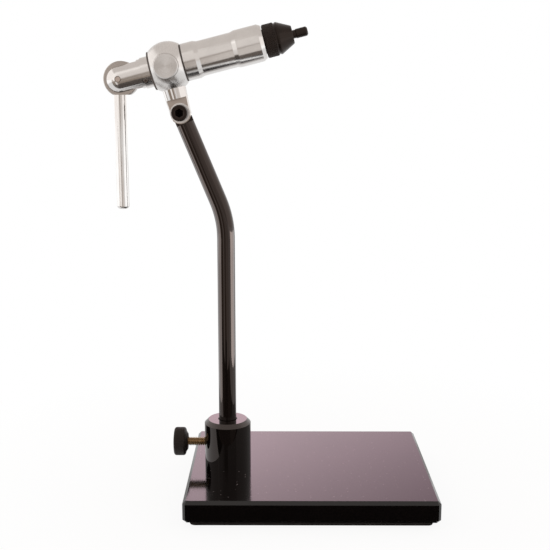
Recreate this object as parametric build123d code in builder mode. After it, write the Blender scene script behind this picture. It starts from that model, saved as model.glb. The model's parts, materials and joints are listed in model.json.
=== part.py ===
from build123d import *
from math import cos, pi, radians, sin, sqrt
import os

# Rotary fly tying vise on a pedestal base. Sizes are in millimetres and degrees.
# The origin is on the table, at the centre of the base. +Z points up and +X the way the jaws face.

# Base plate and pad
BASE_LENGTH = 131.2
BASE_DEPTH = 105.4
BASE_THICKNESS = 11.7
BASE_EDGE_CHAMFER = 1.6
BASE_CORNER_CHAMFER = 1.4
PAD_THICKNESS = 2.8
PAD_SIDE_INSET = 3.0
PAD_FRONT_INSET = 4.0
PAD_CORNER_RADIUS = 3.0

# Stem socket, screwed into the plate by a spigot under it
SOCKET_DIAMETER = 25.4
SOCKET_HEIGHT = 26.0
SOCKET_CHAMFER = 2.1
SOCKET_MOUTH_CHAMFER = 0.5
SOCKET_MOUTH_ANGLE = 90.0
SOCKET_FLOOR = 2.0
SOCKET_FROM_LEFT = 20.6
SPIGOT_DIAMETER = 15.9
SPIGOT_LENGTH = 8.5

# Thumbscrew that clamps the stem
THUMBSCREW_RISE = 12.75
STUD_DIAMETER = 4.8
STUD_EXPOSED = 9.4
STUD_IN_KNOB = 5.5
KNOB_DIAMETER = 15.5
KNOB_WIDTH = 6.4
KNOB_ROUND = 1.3
KNOB_DOME = 0.5
HUB_DIAMETER = 12.0
HUB_END_DIAMETER = 9.6
HUB_WIDTH = 1.1

# Stem: upright rod, bent back, with a half-lap end
STEM_DIAMETER = 9.525
STEM_RISE = 137.25
STEM_LEAN = 22.5
STEM_BEND_RADIUS = 52.0
STEM_TOP_LENGTH = 59.95
STEM_FOOT_CHAMFER = 0.8

# Neck between stem and ball, and the screw that it tilts on
NECK_LENGTH = 24.2
NECK_TOP_DIAMETER = 12.7
NECK_END_DIAMETER = 11.2
NECK_FLAT_DEPTH = 3.0
NECK_FLAT_RISE = 7.85
NECK_FLAT_ARCH = 0.45
NECK_SPIGOT_DIAMETER = 6.0
NECK_SPIGOT_LENGTH = 4.6
PIVOT_DIAMETER = 5.0
PIVOT_HEAD_DIAMETER = 8.5
PIVOT_HEAD_HEIGHT = 5.0
PIVOT_HEX = 4.0
PIVOT_WASHER_DIAMETER = 10.4
PIVOT_WASHER_THICKNESS = 0.8

# Ball block, its drag screw and its washers
BARREL_TILT = 14.2
BALL_DIAMETER = 26.0
BALL_WIDTH = 16.2
DRAG_HEAD_DIAMETER = 12.8
DRAG_HEAD_HEIGHT = 2.6
DRAG_HEAD_CHAMFER = 0.5
DRAG_SHANK_DIAMETER = 6.0
DRAG_PLUG_DIAMETER = 4.0
DRAG_PLUG_LENGTH = 1.3
FRONT_WASHER_DIAMETER = 19.0
FRONT_WASHER_THICKNESS = 0.5
REAR_WASHER_DIAMETER = 19.8
REAR_WASHER_THICKNESS = 0.9

# Spindle and front barrel
SPINDLE_DIAMETER = 9.5
SPINDLE_IN_BARREL = 13.0
BARREL_COLLAR_DIAMETER = 19.3
BARREL_COLLAR_LENGTH = 6.4
BARREL_BODY_DIAMETER = 18.0
BARREL_BODY_LENGTH = 17.5
BARREL_FRONT_DIAMETER = 19.1
BARREL_FRONT_LENGTH = 14.0
BARREL_TAPER_LENGTH = 2.15
BARREL_MOUTH_LENGTH = 1.9
BARREL_MOUTH_STEP = 1.1
BARREL_WEB = 3.0
NOSE_BORE_DIAMETER = 12.7
NOSE_BORE_DEPTH = 13.0

# Forked rear housing with its set screw
HOUSING_RING_DIAMETER = 16.0
HOUSING_RING_LENGTH = 4.3
HOUSING_DIAMETER = 15.0
HOUSING_LENGTH = 12.7
SET_SCREW_DIAMETER = 3.0
SET_SCREW_HEX = 1.5
SET_SCREW_FROM_SLOT = 2.6
SET_SCREW_ANGLE = 34.0
SET_SCREW_SINK = 0.25

# Cam, pin and lever
CAM_DIAMETER = 18.2
CAM_WIDTH = 6.6
CAM_THROW = 1.0
CAM_EDGE_CHAMFER = 0.4
PIN_DIAMETER = 3.2
LEVER_DIAMETER = 6.5
LEVER_LENGTH = 59.4
LEVER_LEAN = 14.2
LEVER_OFFSET = 1.1
LEVER_END_ROUND = 1.6
LEVER_SPIGOT_DIAMETER = 4.8
LEVER_SPIGOT_LENGTH = 4.0

# Push rod and return spring
ROD_DIAMETER = 5.0
ROD_COLLAR_DIAMETER = 8.8
ROD_COLLAR_LENGTH = 2.0
ROD_THREAD_DIAMETER = 4.0
ROD_THREAD_LENGTH = 5.0
SPRING_LENGTH = 10.0
SPRING_DIAMETER = 8.6
SPRING_WIRE = 1.0
SPRING_TURNS = 5
SPRING_ARCS_PER_TURN = 4

# Nose cap and split collet
NOSE_GRIP_DIAMETER = 17.1
NOSE_GRIP_LENGTH = 6.4
NOSE_GRIP_CHAMFER = 0.6
NOSE_GROOVE_DIAMETER = 15.8
NOSE_GROOVE_LENGTH = 0.5
NOSE_LAND_DIAMETER = 16.5
NOSE_LAND_LENGTH = 0.9
NOSE_CONE_LENGTH = 7.2
NOSE_TIP_DIAMETER = 9.0
NOSE_TAIL_LENGTH = 12.0
COLLET_SHANK_DIAMETER = 9.0
COLLET_SHANK_LENGTH = 10.0
COLLET_TAPER_LENGTH = 7.0
COLLET_TAPER_FROM_TIP = 4.7
COLLET_JAW_DIAMETER = 4.8
COLLET_WAIST_DIAMETER = 4.3
COLLET_WAIST_REACH = 1.6
COLLET_REACH = 7.8
COLLET_TIP_CHAMFER = 0.7
COLLET_SLIT = 0.5
COLLET_SLIT_LENGTH = 24.0

# Clearances and small edges
THREAD_CLEARANCE = 0.02
RUNNING_CLEARANCE = 0.05
SLIDING_CLEARANCE = 0.08
FACE_GAP = 0.05
MOVING_GAP = 0.3
CAM_GAP = 0.15
CAM_SIDE_GAP = 0.2
SLOT_GAP = 0.8
SMALL_CHAMFER = 0.3
SCREW_HEAD_CHAMFER = 0.4
DRILL_POINT_ROOM = 1.0
HEX_SHARE = 0.5

os.makedirs("parts", exist_ok=True)

# Heights and places that follow from the sizes above
base_top = PAD_THICKNESS + BASE_THICKNESS
bore_floor = base_top - SPIGOT_LENGTH + SOCKET_FLOOR
stem_x = -BASE_LENGTH / 2 + SOCKET_FROM_LEFT
stem_radius = STEM_DIAMETER / 2
socket_plane = Plane(origin=(stem_x, 0, base_top))
stem_foot = Vector(stem_x, 0, bore_floor)
stem_bend = Vector(stem_x, 0, base_top + STEM_RISE)
lean = Vector(-sin(radians(STEM_LEAN)), 0, cos(radians(STEM_LEAN)))
pivot = stem_bend + lean * STEM_TOP_LENGTH
along = Vector(cos(radians(BARREL_TILT)), 0, sin(radians(BARREL_TILT)))
across = Vector(-sin(radians(BARREL_TILT)), 0, cos(radians(BARREL_TILT)))
near = Vector(0, -1, 0)
ball_centre = pivot + across * NECK_LENGTH

# In the head plane x runs along the barrel, y up across it and z towards the near side
head = Plane(origin=ball_centre, x_dir=along, z_dir=near)
barrel_axis = Axis(ball_centre, along)

# Stations along the barrel, counted from the ball's centre
ball_radius = BALL_DIAMETER / 2
flat_half = BALL_WIDTH / 2
front_start = flat_half + FRONT_WASHER_THICKNESS + 2 * FACE_GAP
collar_end = front_start + BARREL_COLLAR_LENGTH
body_start = collar_end + BARREL_TAPER_LENGTH
body_end = body_start + BARREL_BODY_LENGTH
front_collar = body_end + BARREL_TAPER_LENGTH
barrel_end = front_collar + BARREL_FRONT_LENGTH
web_front = barrel_end - NOSE_BORE_DEPTH
web_rear = web_front - BARREL_WEB
housing_start = -(flat_half + REAR_WASHER_THICKNESS + 2 * FACE_GAP)
ring_end = housing_start - HOUSING_RING_LENGTH
pin_station = ring_end - HOUSING_LENGTH
cam_station = pin_station + CAM_THROW
cam_front = cam_station + CAM_DIAMETER / 2
slot_front = cam_front + SLOT_GAP
spindle_rear = slot_front + DRILL_POINT_ROOM / 2
spindle_front = front_start + SPINDLE_IN_BARREL
rod_rear = cam_front + CAM_GAP
rod_collar_front = web_rear - SPRING_LENGTH
grip_start = barrel_end + MOVING_GAP
grip_end = grip_start + NOSE_GRIP_LENGTH
groove_end = grip_end + NOSE_GROOVE_LENGTH
land_end = groove_end + NOSE_LAND_LENGTH
nose_tip = land_end + NOSE_CONE_LENGTH
nose_tail = grip_start - NOSE_TAIL_LENGTH
taper_end = nose_tip - COLLET_TAPER_FROM_TIP
taper_start = taper_end - COLLET_TAPER_LENGTH
collet_rear = taper_start - COLLET_SHANK_LENGTH
collet_tip = nose_tip + COLLET_REACH


def save(piece, name):
    """Label a finished piece and write it to its own file."""
    piece.part.label = name
    export_step(piece.part, "parts/" + name + ".step")


def turned(profile):
    """A piece turned about the barrel's axis, from (station, radius) points."""
    with BuildPart() as piece:
        with BuildSketch(head):
            with BuildLine():
                Polyline(*profile, close=True)
            make_face()
        revolve(axis=barrel_axis)
    return piece


def turned_ring(start, end, inner, outer):
    """A plain ring about the barrel's axis between two stations."""
    return turned([(start, inner), (end, inner), (end, outer), (start, outer)])


def cap_screw(seat, shank, length, head_diameter, head_height, hex_size):
    """A socket head cap screw whose head stands on the seat plane and whose shank runs below it."""
    with BuildPart(seat) as screw:
        Cylinder(head_diameter / 2, head_height, align=(Align.CENTER, Align.CENTER, Align.MIN))
        chamfer(edges().sort_by(Axis(seat.origin, seat.z_dir))[-1], SCREW_HEAD_CHAMFER)
        Cylinder(shank / 2, length, align=(Align.CENTER, Align.CENTER, Align.MAX))
        with BuildSketch(seat.offset(head_height)):
            RegularPolygon(hex_size / 2, 6, major_radius=False)
        extrude(amount=-head_height * HEX_SHARE, mode=Mode.SUBTRACT)
    return screw


# Base plate, tapped from above for the socket's spigot
with BuildPart() as base_plate:
    with BuildSketch(Plane.XY.offset(PAD_THICKNESS)) as outline:
        Rectangle(BASE_LENGTH, BASE_DEPTH)
        chamfer(outline.vertices(), BASE_CORNER_CHAMFER)
    extrude(amount=BASE_THICKNESS)
    rims = faces().sort_by(Axis.Z)[0].edges() + faces().sort_by(Axis.Z)[-1].edges()
    chamfer(rims, BASE_EDGE_CHAMFER)
    with Locations((stem_x, 0, base_top)):
        Hole(SPIGOT_DIAMETER / 2 + THREAD_CLEARANCE, depth=SPIGOT_LENGTH + MOVING_GAP)
save(base_plate, "base_plate")

# Non-slip pad under the plate
with BuildPart() as base_pad:
    with BuildSketch() as pad_outline:
        Rectangle(BASE_LENGTH - 2 * PAD_SIDE_INSET, BASE_DEPTH - 2 * PAD_FRONT_INSET)
        fillet(pad_outline.vertices(), PAD_CORNER_RADIUS)
    extrude(amount=PAD_THICKNESS)
save(base_pad, "base_pad")

# Socket with a spigot, a blind bore for the stem and a cross hole for the thumbscrew
thumbscrew_plane = Plane(
    origin=(stem_x, 0, base_top + THUMBSCREW_RISE), x_dir=(0, 1, 0), z_dir=(-1, 0, 0)
)
with BuildPart(socket_plane) as stem_socket:
    Cylinder(SOCKET_DIAMETER / 2, SOCKET_HEIGHT, align=(Align.CENTER, Align.CENTER, Align.MIN))
    chamfer(edges().sort_by(Axis.Z)[-1], SOCKET_CHAMFER)
    Cylinder(SPIGOT_DIAMETER / 2, SPIGOT_LENGTH, align=(Align.CENTER, Align.CENTER, Align.MAX))
    chamfer(edges().sort_by(Axis.Z)[0], SMALL_CHAMFER)
    with Locations((0, 0, SOCKET_HEIGHT)):
        CounterSinkHole(
            stem_radius + RUNNING_CLEARANCE,
            stem_radius + RUNNING_CLEARANCE + SOCKET_MOUTH_CHAMFER,
            depth=SOCKET_HEIGHT + SPIGOT_LENGTH - SOCKET_FLOOR,
            counter_sink_angle=SOCKET_MOUTH_ANGLE,
        )
    with BuildSketch(thumbscrew_plane):
        Circle(STUD_DIAMETER / 2 + RUNNING_CLEARANCE)
    extrude(amount=SOCKET_DIAMETER, mode=Mode.SUBTRACT)
save(stem_socket, "stem_socket")

# Thumbscrew: a brass stud moulded into a plastic knob
stud_tip = stem_radius + MOVING_GAP
hub_start = SOCKET_DIAMETER / 2 + STUD_EXPOSED
knob_start = hub_start + HUB_WIDTH
knob_end = knob_start + KNOB_WIDTH
with BuildPart(thumbscrew_plane) as thumbscrew_stud:
    with Locations((0, 0, stud_tip)):
        Cylinder(
            STUD_DIAMETER / 2,
            hub_start + STUD_IN_KNOB - stud_tip,
            align=(Align.CENTER, Align.CENTER, Align.MIN),
        )
    chamfer(edges().sort_by(Axis.X)[-1], SMALL_CHAMFER)
save(thumbscrew_stud, "thumbscrew_stud")

# In the knob's profile plane x runs out along the screw and y is the radius
knob_profile = Plane(origin=thumbscrew_plane.origin, x_dir=(-1, 0, 0), z_dir=(0, -1, 0))
with BuildPart() as thumbscrew_knob:
    with BuildSketch(knob_profile):
        with BuildLine():
            Polyline(
                (hub_start, 0),
                (hub_start, HUB_END_DIAMETER / 2),
                (knob_start, HUB_DIAMETER / 2),
                (knob_start, KNOB_DIAMETER / 2 - KNOB_ROUND),
            )
            RadiusArc(
                (knob_start, KNOB_DIAMETER / 2 - KNOB_ROUND),
                (knob_start + KNOB_ROUND, KNOB_DIAMETER / 2),
                KNOB_ROUND,
            )
            Line((knob_start + KNOB_ROUND, KNOB_DIAMETER / 2), (knob_end - KNOB_ROUND, KNOB_DIAMETER / 2))
            RadiusArc(
                (knob_end - KNOB_ROUND, KNOB_DIAMETER / 2),
                (knob_end, KNOB_DIAMETER / 2 - KNOB_ROUND),
                KNOB_ROUND,
            )
            Polyline((knob_end, KNOB_DIAMETER / 2 - KNOB_ROUND), (knob_end + KNOB_DOME, 0), (hub_start, 0))
        make_face()
    revolve(axis=Axis(thumbscrew_plane.origin, (-1, 0, 0)))
    with BuildSketch(thumbscrew_plane.offset(hub_start)):
        Circle(STUD_DIAMETER / 2 + THREAD_CLEARANCE)
    extrude(amount=STUD_IN_KNOB, mode=Mode.SUBTRACT)
save(thumbscrew_knob, "thumbscrew_knob")

# Stem: bent rod whose far end is halved to a tongue with a round end about the pivot
tongue = Plane(origin=pivot, x_dir=lean, z_dir=near)
neck_end_radius = NECK_END_DIAMETER / 2
tongue_shoulder = neck_end_radius + MOVING_GAP
stem_end = pivot + lean * STEM_DIAMETER
with BuildPart() as stem:
    with BuildLine() as stem_path:
        FilletPolyline(stem_foot, stem_bend, stem_end, radius=STEM_BEND_RADIUS)
    with BuildSketch(Plane(origin=stem_foot)):
        Circle(stem_radius)
    sweep()
    chamfer(edges().sort_by(Axis.Z)[0], STEM_FOOT_CHAMFER)
    with BuildSketch(tongue.offset(-FACE_GAP)):
        with Locations(((STEM_DIAMETER * 2 - tongue_shoulder) / 2, 0)):
            Rectangle(STEM_DIAMETER * 2 + tongue_shoulder, STEM_DIAMETER * 2)
    extrude(amount=STEM_DIAMETER, mode=Mode.SUBTRACT)
    with BuildSketch(tongue):
        with Locations((STEM_DIAMETER, 0)):
            Rectangle(STEM_DIAMETER * 2, STEM_DIAMETER * 2)
        Circle(stem_radius + FACE_GAP, mode=Mode.SUBTRACT)
    extrude(amount=STEM_DIAMETER, both=True, mode=Mode.SUBTRACT)
    with BuildSketch(tongue):
        Circle(PIVOT_DIAMETER / 2 + THREAD_CLEARANCE)
    extrude(amount=STEM_DIAMETER, both=True, mode=Mode.SUBTRACT)
save(stem, "stem")

# Neck: tapered round neck with a spigot in the ball, halved behind and flat in front of the pivot
neck_plane = Plane(origin=pivot, x_dir=across, z_dir=near)
neck_seat = NECK_LENGTH - sqrt(ball_radius**2 - (NECK_TOP_DIAMETER / 2) ** 2)
neck_relief = stem_radius + MOVING_GAP
with BuildPart() as neck:
    with BuildSketch(neck_plane):
        with BuildLine():
            Polyline(
                (-NECK_END_DIAMETER, 0),
                (-NECK_END_DIAMETER, neck_end_radius),
                (0, neck_end_radius),
                (neck_seat, NECK_TOP_DIAMETER / 2),
                (neck_seat, NECK_SPIGOT_DIAMETER / 2),
                (neck_seat + NECK_SPIGOT_LENGTH, NECK_SPIGOT_DIAMETER / 2),
                (neck_seat + NECK_SPIGOT_LENGTH, 0),
                close=True,
            )
        make_face()
    revolve(axis=Axis(pivot, across))
    with BuildSketch(neck_plane):
        with Locations((-NECK_END_DIAMETER, 0)):
            Rectangle(2 * NECK_END_DIAMETER, 2 * NECK_END_DIAMETER)
        Circle(neck_end_radius + FACE_GAP, mode=Mode.SUBTRACT)
    extrude(amount=NECK_TOP_DIAMETER, both=True, mode=Mode.SUBTRACT)
    with BuildSketch(neck_plane.offset(FACE_GAP)):
        with Locations((neck_relief / 2 - neck_end_radius, 0)):
            Rectangle(neck_relief + 2 * neck_end_radius, 4 * neck_end_radius)
    extrude(amount=-NECK_TOP_DIAMETER, mode=Mode.SUBTRACT)
    with BuildSketch(neck_plane.offset(NECK_FLAT_DEPTH)):
        with BuildLine():
            Polyline(
                (NECK_FLAT_RISE, NECK_TOP_DIAMETER),
                (-2 * neck_end_radius, NECK_TOP_DIAMETER),
                (-2 * neck_end_radius, -NECK_TOP_DIAMETER),
                (NECK_FLAT_RISE, -NECK_TOP_DIAMETER),
            )
            SagittaArc(
                (NECK_FLAT_RISE, -NECK_TOP_DIAMETER),
                (NECK_FLAT_RISE, NECK_TOP_DIAMETER),
                NECK_FLAT_ARCH,
            )
        make_face()
    extrude(amount=NECK_TOP_DIAMETER, mode=Mode.SUBTRACT)
    with BuildSketch(neck_plane):
        Circle(PIVOT_DIAMETER / 2 + RUNNING_CLEARANCE)
    extrude(amount=NECK_TOP_DIAMETER, both=True, mode=Mode.SUBTRACT)
save(neck, "neck")

# Washer and cap screw that clamp the neck on the stem's tongue
washer_plane = neck_plane.offset(NECK_FLAT_DEPTH + FACE_GAP)
with BuildPart() as pivot_washer:
    with BuildSketch(washer_plane):
        Circle(PIVOT_WASHER_DIAMETER / 2)
        Circle(PIVOT_DIAMETER / 2 + RUNNING_CLEARANCE, mode=Mode.SUBTRACT)
    extrude(amount=PIVOT_WASHER_THICKNESS)
save(pivot_washer, "pivot_washer")

pivot_screw = cap_screw(
    washer_plane.offset(PIVOT_WASHER_THICKNESS),
    PIVOT_DIAMETER,
    PIVOT_WASHER_THICKNESS + FACE_GAP + NECK_FLAT_DEPTH + stem_radius - SMALL_CHAMFER,
    PIVOT_HEAD_DIAMETER,
    PIVOT_HEAD_HEIGHT,
    PIVOT_HEX,
)
save(pivot_screw, "pivot_screw")

# Ball block: a ball with two flats, bored for the spindle, the drag screw and the neck
spindle_radius = SPINDLE_DIAMETER / 2
drag_flat = sqrt(ball_radius**2 - (DRAG_HEAD_DIAMETER / 2 + RUNNING_CLEARANCE) ** 2)
neck_hole_plane = Plane(origin=ball_centre, x_dir=along, z_dir=across * -1)
with BuildPart() as ball_block:
    with BuildSketch(head):
        with BuildLine():
            CenterArc((0, 0), ball_radius, 0, 180)
            Line((-ball_radius, 0), (ball_radius, 0))
        make_face()
    revolve(axis=barrel_axis)
    with BuildSketch(head):
        with Locations((flat_half + ball_radius / 2, 0), (-flat_half - ball_radius / 2, 0)):
            Rectangle(ball_radius, 2 * ball_radius)
    extrude(amount=ball_radius, both=True, mode=Mode.SUBTRACT)
    with BuildSketch(Plane(origin=ball_centre, x_dir=across, z_dir=along)):
        Circle(spindle_radius + RUNNING_CLEARANCE)
    extrude(amount=ball_radius, both=True, mode=Mode.SUBTRACT)
    with BuildSketch(head.offset(drag_flat)):
        Circle(ball_radius)
    extrude(amount=ball_radius, mode=Mode.SUBTRACT)
    with BuildSketch(head):
        Circle(DRAG_SHANK_DIAMETER / 2 + RUNNING_CLEARANCE)
    extrude(amount=ball_radius, mode=Mode.SUBTRACT)
    with BuildSketch(neck_hole_plane.offset(NECK_LENGTH - neck_seat)):
        Circle(ball_radius)
    extrude(amount=ball_radius, mode=Mode.SUBTRACT)
    with BuildSketch(neck_hole_plane):
        Circle(NECK_SPIGOT_DIAMETER / 2 + THREAD_CLEARANCE)
    extrude(amount=ball_radius, mode=Mode.SUBTRACT)
save(ball_block, "ball_block")

# Drag screw with a broad turned head, and the plug that it presses on the spindle
plug_start = spindle_radius + SLIDING_CLEARANCE
shank_tip = plug_start + DRAG_PLUG_LENGTH
drag_seat = drag_flat + MOVING_GAP
with BuildPart() as drag_knob:
    with BuildSketch(head.offset(shank_tip)):
        Circle(DRAG_SHANK_DIAMETER / 2)
    extrude(amount=drag_seat - shank_tip)
    with BuildSketch(head.offset(drag_seat)):
        Circle(DRAG_HEAD_DIAMETER / 2)
    extrude(amount=DRAG_HEAD_HEIGHT)
    chamfer(edges().sort_by(Axis(ball_centre, near))[-1], DRAG_HEAD_CHAMFER)
save(drag_knob, "drag_knob")

with BuildPart() as drag_plug:
    with BuildSketch(head.offset(plug_start)):
        Circle(DRAG_PLUG_DIAMETER / 2)
    extrude(amount=DRAG_PLUG_LENGTH)
save(drag_plug, "drag_plug")

# Thrust washers on the ball's two flats
washer_bore = spindle_radius + THREAD_CLEARANCE
front_washer = turned_ring(
    flat_half + FACE_GAP, front_start - FACE_GAP, washer_bore, FRONT_WASHER_DIAMETER / 2
)
save(front_washer, "front_washer")
rear_washer = turned_ring(
    housing_start + FACE_GAP, -flat_half - FACE_GAP, washer_bore, REAR_WASHER_DIAMETER / 2
)
save(rear_washer, "rear_washer")

# Hollow spindle that joins barrel and housing through the ball
rod_radius = ROD_DIAMETER / 2
spindle = turned_ring(spindle_rear, spindle_front, rod_radius + SLIDING_CLEARANCE, spindle_radius)
save(spindle, "spindle")

# Front barrel: collar, body and front collar outside, spring chamber and nose thread inside
spindle_bore = spindle_radius + THREAD_CLEARANCE
front_barrel = turned(
    [
        (front_start, spindle_bore),
        (front_start, BARREL_COLLAR_DIAMETER / 2 - SMALL_CHAMFER),
        (front_start + SMALL_CHAMFER, BARREL_COLLAR_DIAMETER / 2),
        (collar_end, BARREL_COLLAR_DIAMETER / 2),
        (body_start, BARREL_BODY_DIAMETER / 2),
        (body_end, BARREL_BODY_DIAMETER / 2),
        (front_collar, BARREL_FRONT_DIAMETER / 2),
        (barrel_end - BARREL_MOUTH_LENGTH, BARREL_FRONT_DIAMETER / 2),
        (barrel_end, BARREL_FRONT_DIAMETER / 2 - BARREL_MOUTH_STEP),
        (barrel_end, NOSE_BORE_DIAMETER / 2),
        (web_front, NOSE_BORE_DIAMETER / 2),
        (web_front, rod_radius + SLIDING_CLEARANCE),
        (web_rear, rod_radius + SLIDING_CLEARANCE),
        (web_rear, spindle_bore),
    ]
)
save(front_barrel, "front_barrel")

# Forked rear housing with a ball end, slotted for the cam and drilled for pin and set screw
housing_radius = HOUSING_DIAMETER / 2
slot_width = CAM_WIDTH + 2 * CAM_SIDE_GAP
slot_length = slot_front - pin_station + HOUSING_DIAMETER
set_screw_station = slot_front + SET_SCREW_FROM_SLOT
set_screw_dir = near * cos(radians(SET_SCREW_ANGLE)) - across * sin(radians(SET_SCREW_ANGLE))
set_screw_plane = Plane(origin=ball_centre + along * set_screw_station, x_dir=along, z_dir=set_screw_dir)
with BuildPart() as rear_housing:
    with BuildSketch(head):
        with BuildLine():
            Polyline(
                (pin_station - housing_radius, 0),
                (housing_start, 0),
                (housing_start, HOUSING_RING_DIAMETER / 2),
                (ring_end, HOUSING_RING_DIAMETER / 2),
                (ring_end, housing_radius),
                (pin_station, housing_radius),
            )
            CenterArc((pin_station, 0), housing_radius, 90, 90)
        make_face()
    revolve(axis=barrel_axis)
    with BuildSketch(head):
        with Locations((slot_front - slot_length / 2, 0)):
            Rectangle(slot_length, 2 * HOUSING_DIAMETER)
    extrude(amount=slot_width / 2, both=True, mode=Mode.SUBTRACT)
    with BuildSketch(Plane(origin=ball_centre + along * slot_front, x_dir=across, z_dir=along)):
        Circle(spindle_bore)
    extrude(amount=housing_start - slot_front, mode=Mode.SUBTRACT)
    with BuildSketch(head):
        with Locations((pin_station, 0)):
            Circle(PIN_DIAMETER / 2 + THREAD_CLEARANCE)
    extrude(amount=HOUSING_DIAMETER, both=True, mode=Mode.SUBTRACT)
    with BuildSketch(set_screw_plane):
        Circle(SET_SCREW_DIAMETER / 2 + THREAD_CLEARANCE)
    extrude(amount=HOUSING_DIAMETER, mode=Mode.SUBTRACT)
save(rear_housing, "rear_housing")

# Set screw that locks the housing on the spindle
set_screw_start = spindle_radius + FACE_GAP
set_screw_length = housing_radius - SET_SCREW_SINK - set_screw_start
with BuildPart() as set_screw:
    with BuildSketch(set_screw_plane.offset(set_screw_start)):
        Circle(SET_SCREW_DIAMETER / 2)
    extrude(amount=set_screw_length)
    with BuildSketch(set_screw_plane.offset(set_screw_start + set_screw_length)):
        RegularPolygon(SET_SCREW_HEX / 2, 6, major_radius=False)
    extrude(amount=-set_screw_length * HEX_SHARE, mode=Mode.SUBTRACT)
save(set_screw, "set_screw")

# Cam: a round disc on an off-centre pin, with a seat and a tapped hole for the lever
cam_radius = CAM_DIAMETER / 2
cam_centre = ball_centre + along * cam_station
lever_dir = across * -cos(radians(LEVER_LEAN)) - along * sin(radians(LEVER_LEAN))
lever_side = along * cos(radians(LEVER_LEAN)) - across * sin(radians(LEVER_LEAN))
lever_plane = Plane(origin=cam_centre - lever_side * LEVER_OFFSET, x_dir=near, z_dir=lever_dir)
lever_seat = sqrt(cam_radius**2 - (LEVER_DIAMETER / 2 + LEVER_OFFSET) ** 2)
cam_plane = Plane(origin=cam_centre, x_dir=along, z_dir=near)
with BuildPart() as cam:
    with BuildSketch(cam_plane):
        Circle(cam_radius)
    extrude(amount=CAM_WIDTH / 2, both=True)
    chamfer(edges().filter_by(GeomType.CIRCLE), CAM_EDGE_CHAMFER)
    with BuildSketch(lever_plane.offset(lever_seat)):
        Circle(cam_radius)
    extrude(amount=cam_radius, mode=Mode.SUBTRACT)
    with BuildSketch(lever_plane.offset(lever_seat)):
        Circle(LEVER_SPIGOT_DIAMETER / 2 + THREAD_CLEARANCE)
    extrude(amount=-LEVER_SPIGOT_LENGTH - SMALL_CHAMFER, mode=Mode.SUBTRACT)
    with BuildSketch(cam_plane):
        with Locations((-CAM_THROW, 0)):
            Circle(PIN_DIAMETER / 2 + RUNNING_CLEARANCE)
    extrude(amount=CAM_WIDTH, both=True, mode=Mode.SUBTRACT)
save(cam, "cam")

# Cross pin, flush with the fork's cheeks
with BuildPart() as cam_pin:
    with BuildSketch(head):
        with Locations((pin_station, 0)):
            Circle(PIN_DIAMETER / 2)
    extrude(amount=housing_radius - FACE_GAP, both=True)
save(cam_pin, "cam_pin")

# Lever rod, screwed into the cam by a spigot
with BuildPart(lever_plane) as lever:
    with Locations((0, 0, lever_seat)):
        Cylinder(LEVER_DIAMETER / 2, LEVER_LENGTH, align=(Align.CENTER, Align.CENTER, Align.MIN))
    fillet(edges().sort_by(Axis(cam_centre, lever_dir))[-1], LEVER_END_ROUND)
    with Locations((0, 0, lever_seat)):
        Cylinder(
            LEVER_SPIGOT_DIAMETER / 2, LEVER_SPIGOT_LENGTH, align=(Align.CENTER, Align.CENTER, Align.MAX)
        )
save(lever, "lever")

# Push rod with a collar for the spring and a threaded end in the collet
rod_collar_rear = rod_collar_front - ROD_COLLAR_LENGTH
rod_thread_end = collet_rear + ROD_THREAD_LENGTH
push_rod = turned(
    [
        (rod_rear, 0),
        (rod_rear, rod_radius),
        (rod_collar_rear, rod_radius),
        (rod_collar_rear, ROD_COLLAR_DIAMETER / 2),
        (rod_collar_front, ROD_COLLAR_DIAMETER / 2),
        (rod_collar_front, rod_radius),
        (collet_rear, rod_radius),
        (collet_rear, ROD_THREAD_DIAMETER / 2),
        (rod_thread_end, ROD_THREAD_DIAMETER / 2),
        (rod_thread_end, 0),
    ]
)
save(push_rod, "push_rod")


def spring_point(turn):
    """Place and direction on the spring's helix after a number of turns."""
    angle = 2 * pi * turn
    outward = across * cos(angle) + near * sin(angle)
    sideways = near * cos(angle) - across * sin(angle)
    place = ball_centre + along * (spring_start + spring_pitch * turn) + outward * spring_radius
    direction = along * spring_pitch + sideways * (2 * pi * spring_radius)
    return place, direction.normalized()


# Return spring between the rod's collar and the barrel's web: each share of a turn is a pair of tangent arcs
spring_radius = (SPRING_DIAMETER - SPRING_WIRE) / 2
spring_start = rod_collar_front + SPRING_WIRE / 2 + FACE_GAP
spring_pitch = (SPRING_LENGTH - SPRING_WIRE - 2 * FACE_GAP) / SPRING_TURNS
with BuildPart() as return_spring:
    with BuildLine() as spring_path:
        for arc in range(SPRING_TURNS * SPRING_ARCS_PER_TURN):
            start, start_dir = spring_point(arc / SPRING_ARCS_PER_TURN)
            end, end_dir = spring_point((arc + 1) / SPRING_ARCS_PER_TURN)
            chord = end - start
            turn_sum = start_dir + end_dir
            square = 4 - turn_sum.dot(turn_sum)
            lean = chord.dot(turn_sum)
            reach = (sqrt(lean**2 + square * chord.dot(chord)) - lean) / square
            middle = (start + end + (start_dir - end_dir) * reach) / 2
            TangentArc(start, middle, tangent=start_dir)
            TangentArc(middle, end, tangent=chord - turn_sum * reach)
    with BuildSketch(Plane(origin=spring_path.wire() @ 0, z_dir=spring_path.wire() % 0)):
        Circle(SPRING_WIRE / 2)
    sweep()
save(return_spring, "return_spring")

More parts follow.
